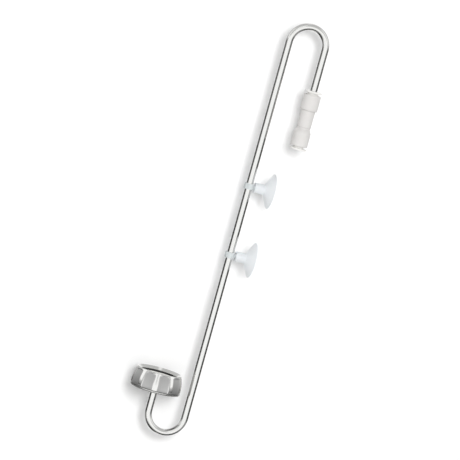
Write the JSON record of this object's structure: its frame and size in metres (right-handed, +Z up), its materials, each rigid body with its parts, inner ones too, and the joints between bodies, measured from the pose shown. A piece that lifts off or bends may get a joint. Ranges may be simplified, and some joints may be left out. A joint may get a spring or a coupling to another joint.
{
  "type": "hang-on aquarium co2 diffuser",
  "caption": "Bent steel gas tube that hooks over an aquarium's edge, with a fluted ceramic diffuser head on its J-shaped foot, clear suction cups and a push-fit check valve for the hose.",
  "frame": {"origin": "the underside of the hook, in the middle of the bend, where it rests on the top edge of the tank's glass", "axes": "+Z up along the straight tube, +X from the water side through the glass to the outside, +Y to the right of someone outside who faces the tank"},
  "size_m": [0.0937, 0.0442, 0.3694],
  "materials": {
    "polished_steel": "polished stainless steel",
    "satin_steel": "fine-turned stainless steel with polished lands",
    "spring_steel": "bright spring steel",
    "sintered_ceramic": "matte white sintered ceramic",
    "black_rubber": "black elastomer",
    "clear_pvc": "soft milky-clear vinyl",
    "clear_clip": "clear hard plastic",
    "white_plastic": "satin off-white moulded plastic",
    "white_acetal": "satin white acetal"
  },
  "bodies": {
    "tube": {"gas_tube": "polished_steel", "diffuser_bowl": "satin_steel", "lower_gasket": "black_rubber", "ceramic_disc": "sintered_ceramic"},
    "clamp_gasket": {"upper_gasket": "black_rubber"},
    "clamp_ring": {"clamp_ring": "satin_steel"},
    "upper_clip": {"upper_tube_clip": "clear_clip"},
    "upper_cup": {"upper_suction_cup": "clear_pvc"},
    "lower_clip": {"lower_tube_clip": "clear_clip"},
    "lower_cup": {"lower_suction_cup": "clear_pvc"},
    "check_valve": {"valve_outlet_body": "white_plastic", "valve_inlet_body": "white_plastic", "valve_joint_seal": "black_rubber", "outlet_guide_ring": "white_acetal", "inlet_guide_ring": "white_acetal", "outlet_grab_ring": "spring_steel", "inlet_grab_ring": "spring_steel", "outlet_tube_seal": "black_rubber", "inlet_tube_seal": "black_rubber", "poppet_spring": "spring_steel"},
    "outlet_collet": {"outlet_collet": "white_acetal"},
    "inlet_collet": {"inlet_collet": "white_acetal"},
    "poppet": {"poppet": "white_acetal", "poppet_seal": "black_rubber"}
  },
  "joints": [
    {"name": "clamp_lift", "type": "slide", "parent": "tube", "child": "clamp_gasket", "axis": [0, 0, 1], "range_m": [0, 0.0045]},
    {"name": "clamp_ring_turn", "type": "hinge", "parent": "clamp_gasket", "child": "clamp_ring", "pos_m": [-0.048, 0, -0.3098], "axis": [0, 0, 1], "range_deg": [0, 1080]},
    {"name": "upper_clip_slide", "type": "slide", "parent": "tube", "child": "upper_clip", "axis": [0, 0, 1], "range_m": [-0.012, 0.11]},
    {"name": "upper_cup_turn", "type": "hinge", "parent": "upper_clip", "child": "upper_cup", "pos_m": [0, 0, -0.1397], "axis": [1, 0, 0], "continuous": true},
    {"name": "lower_clip_slide", "type": "slide", "parent": "tube", "child": "lower_clip", "axis": [0, 0, 1], "range_m": [-0.13, 0.012]},
    {"name": "lower_cup_turn", "type": "hinge", "parent": "lower_clip", "child": "lower_cup", "pos_m": [0, 0, -0.2002], "axis": [1, 0, 0], "continuous": true},
    {"name": "check_valve_swivel", "type": "hinge", "parent": "tube", "child": "check_valve", "pos_m": [0.016, 0, -0.0519], "axis": [0, 0, 1], "continuous": true},
    {"name": "outlet_collet_press", "type": "slide", "parent": "check_valve", "child": "outlet_collet", "axis": [0, 0, -1], "range_m": [0, 0.0012], "stiffness_N_per_m": 300, "springref_m": -0.0005},
    {"name": "inlet_collet_press", "type": "slide", "parent": "check_valve", "child": "inlet_collet", "axis": [0, 0, 1], "range_m": [0, 0.0012], "stiffness_N_per_m": 300, "springref_m": -0.0005},
    {"name": "poppet_lift", "type": "slide", "parent": "check_valve", "child": "poppet", "axis": [0, 0, 1], "range_m": [0, 0.0015], "stiffness_N_per_m": 150, "springref_m": -0.002, "deforming": ["poppet_spring"]}
  ],
  "couplings": [
    {"joint": "clamp_lift", "follows": "clamp_ring_turn", "m_per_rad": 0.00023873}
  ]
}
